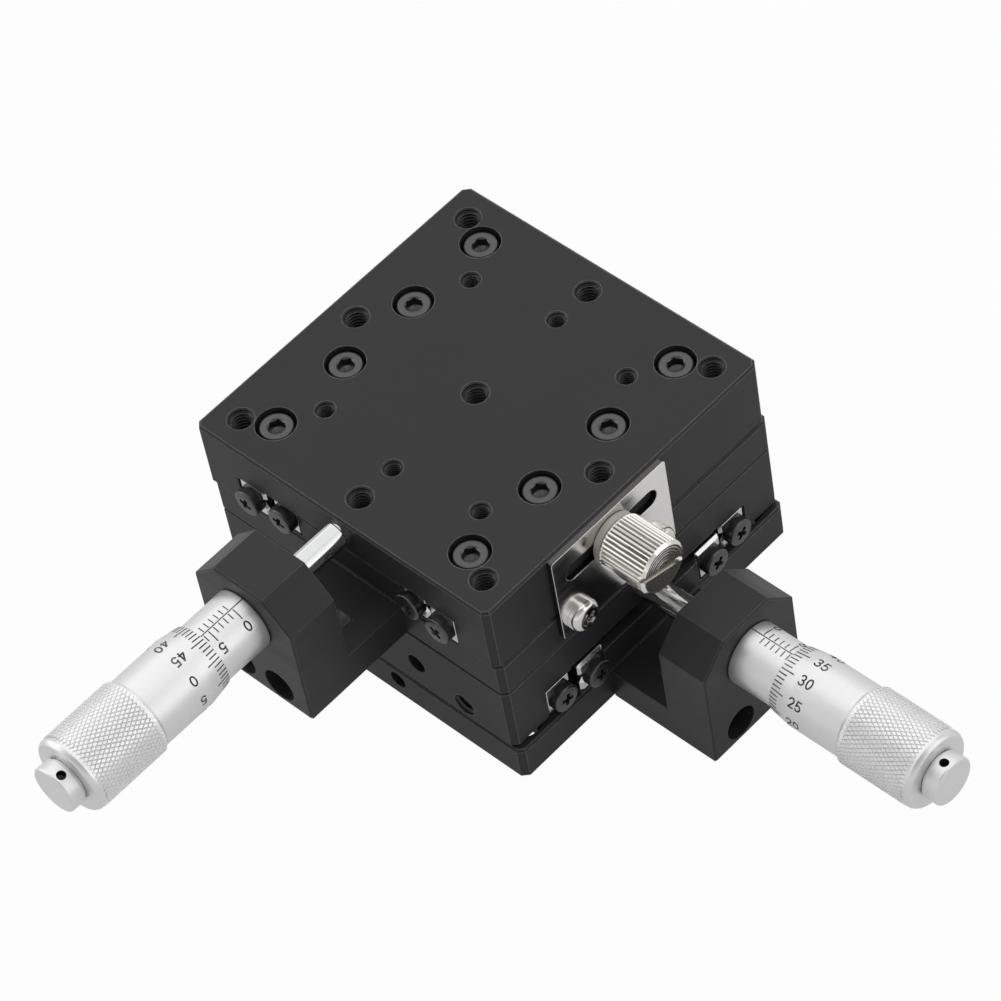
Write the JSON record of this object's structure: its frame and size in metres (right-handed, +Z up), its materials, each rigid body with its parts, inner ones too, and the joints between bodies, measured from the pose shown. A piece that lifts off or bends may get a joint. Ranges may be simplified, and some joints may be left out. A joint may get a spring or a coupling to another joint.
{
  "type": "crossed roller linear stage",
  "caption": "Two-axis crossed roller stage with a tapped square table, a micrometer drive on each axis and knurled locking screws.",
  "frame": {"origin": "centre of the lower base plate's bottom face", "axes": "+Z up, normal to the plates; +X along the lower axis, out to its micrometer; the upper axis's micrometer points to -Y"},
  "size_m": [0.1216, 0.1308, 0.0446],
  "materials": {
    "black_anodised": "fine matte black anodised",
    "rail_steel": "ground hardened steel",
    "cage_steel": "thin rolled strip",
    "roller_steel": "lapped",
    "black_oxide": "black oxide",
    "satin_chrome": "satin chrome plated",
    "spindle_steel": "ground and polished",
    "plate_steel": "brushed stainless",
    "knob_nickel": "bright nickel plated",
    "zinc": "bright zinc plated",
    "spring_steel": "drawn wire"
  },
  "bodies": {
    "base": {"x_base_plate": "black_anodised", "x_base_rails": "rail_steel", "x_base_rail_screws": "black_oxide", "x_base_stop_screws": "black_oxide", "x_bracket": "black_anodised", "x_bracket_screws": "black_oxide", "x_sleeve": "satin_chrome", "x_base_spring_pin": "rail_steel", "x_spring": "spring_steel", "x_lock_plate": "plate_steel", "x_lock_plate_screws": "zinc"},
    "x_table": {"x_table_plate": "black_anodised", "x_table_rails": "rail_steel", "x_table_rail_screws": "black_oxide", "x_table_stop_screws": "black_oxide", "x_preload_screws": "black_oxide", "x_anvil": "rail_steel", "x_table_spring_pin": "rail_steel", "joining_screws": "black_oxide", "y_base_plate": "black_anodised", "y_base_rails": "rail_steel", "y_base_rail_screws": "black_oxide", "y_base_stop_screws": "black_oxide", "y_bracket": "black_anodised", "y_bracket_screws": "black_oxide", "y_sleeve": "satin_chrome", "y_base_spring_pin": "rail_steel", "y_spring": "spring_steel", "y_lock_plate": "plate_steel", "y_lock_plate_screws": "zinc"},
    "y_table": {"y_table_plate": "black_anodised", "y_table_rails": "rail_steel", "y_table_rail_screws": "black_oxide", "y_table_stop_screws": "black_oxide", "y_preload_screws": "black_oxide", "y_anvil": "rail_steel", "y_table_spring_pin": "rail_steel"},
    "x_left_cage": {"x_left_cage": "cage_steel", "x_left_rollers": "roller_steel"},
    "x_right_cage": {"x_right_cage": "cage_steel", "x_right_rollers": "roller_steel"},
    "x_micrometer": {"x_thimble": "satin_chrome", "x_spindle": "spindle_steel", "x_end_cap": "satin_chrome"},
    "x_lock_screw": {"x_thumb_screw": "knob_nickel"},
    "y_left_cage": {"y_left_cage": "cage_steel", "y_left_rollers": "roller_steel"},
    "y_right_cage": {"y_right_cage": "cage_steel", "y_right_rollers": "roller_steel"},
    "y_micrometer": {"y_thimble": "satin_chrome", "y_spindle": "spindle_steel", "y_end_cap": "satin_chrome"},
    "y_lock_screw": {"y_thumb_screw": "knob_nickel"}
  },
  "joints": [
    {"name": "x_slide", "type": "slide", "parent": "base", "child": "x_table", "axis": [1, 0, 0], "range_m": [-0.00584, 0.00716], "deforming": ["x_spring"]},
    {"name": "x_left_cage_slide", "type": "slide", "parent": "base", "child": "x_left_cage", "axis": [1, 0, 0], "range_m": [-0.00292, 0.00358]},
    {"name": "x_right_cage_slide", "type": "slide", "parent": "base", "child": "x_right_cage", "axis": [1, 0, 0], "range_m": [-0.00292, 0.00358]},
    {"name": "x_micrometer_turn", "type": "hinge", "parent": "x_table", "child": "x_micrometer", "pos_m": [-0.00098, 0, 0.017], "axis": [1, 0, 0], "range_deg": [-4205.3, 5155.7]},
    {"name": "x_lock_turn", "type": "hinge", "parent": "x_table", "child": "x_lock_screw", "pos_m": [0.00387, 0.031, 0.0145], "axis": [0, 1, 0], "range_deg": [-90, 180]},
    {"name": "y_slide", "type": "slide", "parent": "x_table", "child": "y_table", "axis": [0, -1, 0], "range_m": [-0.00644, 0.00656], "deforming": ["y_spring"]},
    {"name": "y_left_cage_slide", "type": "slide", "parent": "x_table", "child": "y_left_cage", "axis": [0, -1, 0], "range_m": [-0.00322, 0.00328]},
    {"name": "y_right_cage_slide", "type": "slide", "parent": "x_table", "child": "y_right_cage", "axis": [0, -1, 0], "range_m": [-0.00322, 0.00328]},
    {"name": "y_micrometer_turn", "type": "hinge", "parent": "y_table", "child": "y_micrometer", "pos_m": [-0.00098, 0, 0.037], "axis": [0, -1, 0], "range_deg": [-4637.3, 4723.7]},
    {"name": "y_lock_turn", "type": "hinge", "parent": "y_table", "child": "y_lock_screw", "pos_m": [0.03002, -0.0054, 0.0345], "axis": [1, 0, 0], "range_deg": [-90, 180]}
  ],
  "couplings": [
    {"joint": "x_micrometer_turn", "follows": "x_slide", "rad_per_m": 12566},
    {"joint": "x_left_cage_slide", "follows": "x_slide", "ratio": 0.5},
    {"joint": "x_right_cage_slide", "follows": "x_slide", "ratio": 0.5},
    {"joint": "y_micrometer_turn", "follows": "y_slide", "rad_per_m": 12566},
    {"joint": "y_left_cage_slide", "follows": "y_slide", "ratio": 0.5},
    {"joint": "y_right_cage_slide", "follows": "y_slide", "ratio": 0.5}
  ]
}
